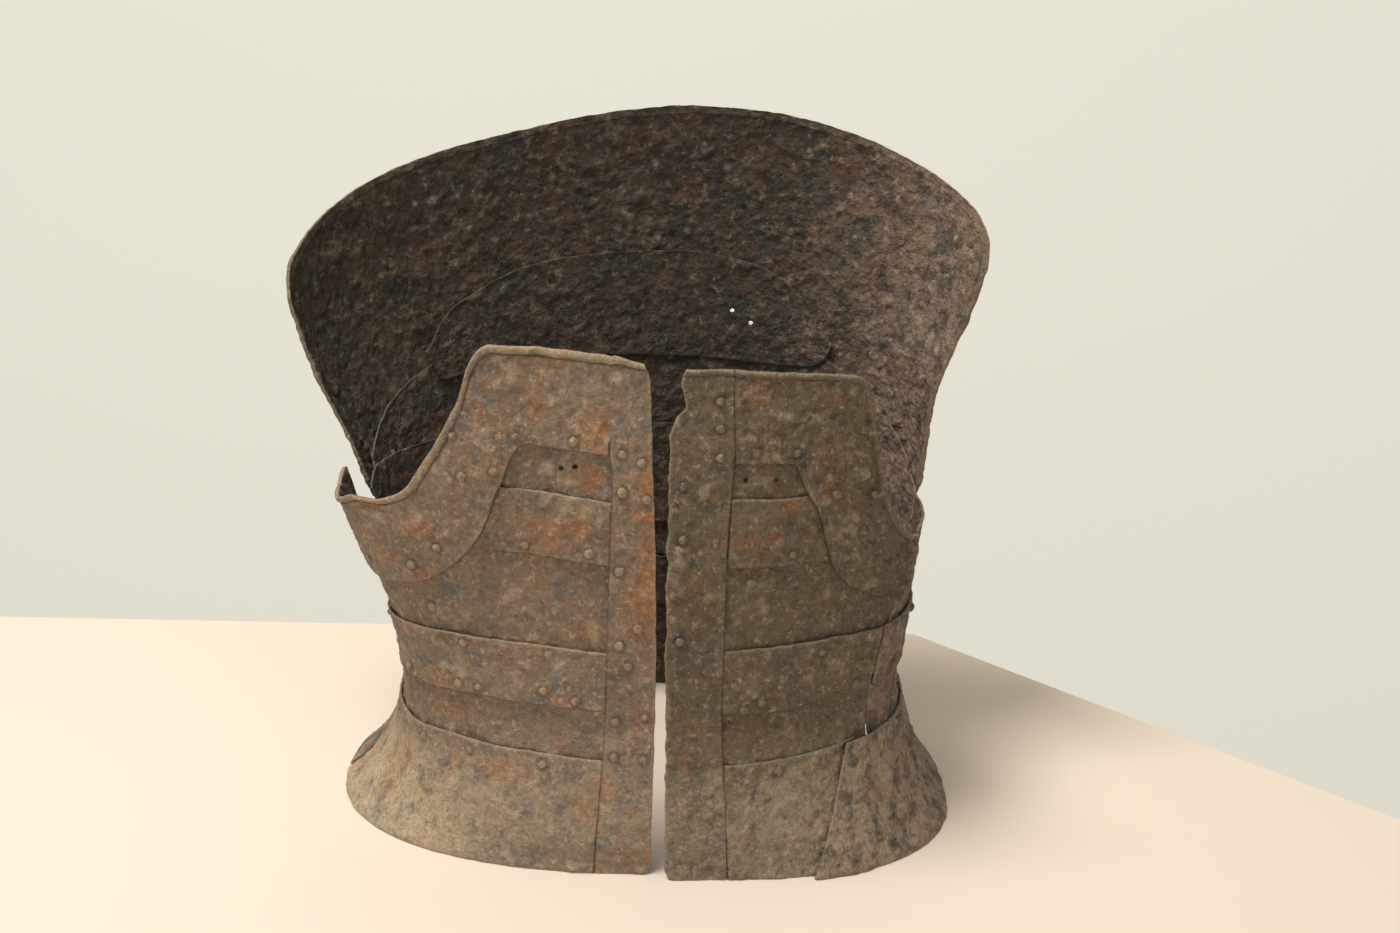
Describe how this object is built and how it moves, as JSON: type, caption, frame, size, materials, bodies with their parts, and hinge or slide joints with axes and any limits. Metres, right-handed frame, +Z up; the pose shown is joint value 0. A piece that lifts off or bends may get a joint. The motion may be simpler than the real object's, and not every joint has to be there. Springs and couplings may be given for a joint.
{
  "type": "iron plate cuirass",
  "caption": "Short body armour of riveted horizontal iron plates, open at the neck, hem, arms and front, with a high winged back, standing on its flared hem.",
  "frame": {"origin": "under the middle of the bounding box, at the height of the hem's underside", "axes": "+Z up, -Y the way the wearer faces, +X to the wearer's left"},
  "size_m": [0.4634, 0.2818, 0.4475],
  "materials": {
    "rust_brown": "rough rusted iron, warm brown with orange patches",
    "rust_olive": "rough rusted iron, darker olive brown",
    "rust_umber": "rough rusted iron, very dark umber"
  },
  "bodies": {
    "root": {"right_front_strip": "rust_brown", "right_front_top": "rust_brown", "right_front_plate_2": "rust_brown", "right_front_band_3": "rust_brown", "right_front_plate_4": "rust_brown", "right_front_band_5": "rust_brown", "right_front_plate_6": "rust_brown", "right_front_hem": "rust_brown", "left_front_strip": "rust_olive", "left_front_top": "rust_olive", "left_front_plate_2": "rust_olive", "left_front_band_3": "rust_olive", "left_front_plate_4": "rust_olive", "left_front_band_5": "rust_olive", "left_front_plate_6": "rust_olive", "left_front_hem": "rust_olive", "back_shoulder": "rust_umber", "back_crescent": "rust_umber", "back_band_3": "rust_umber", "back_plate_4": "rust_umber", "back_band_5": "rust_umber", "back_plate_6": "rust_umber", "back_hem": "rust_umber"}
  },
  "joints": []
}
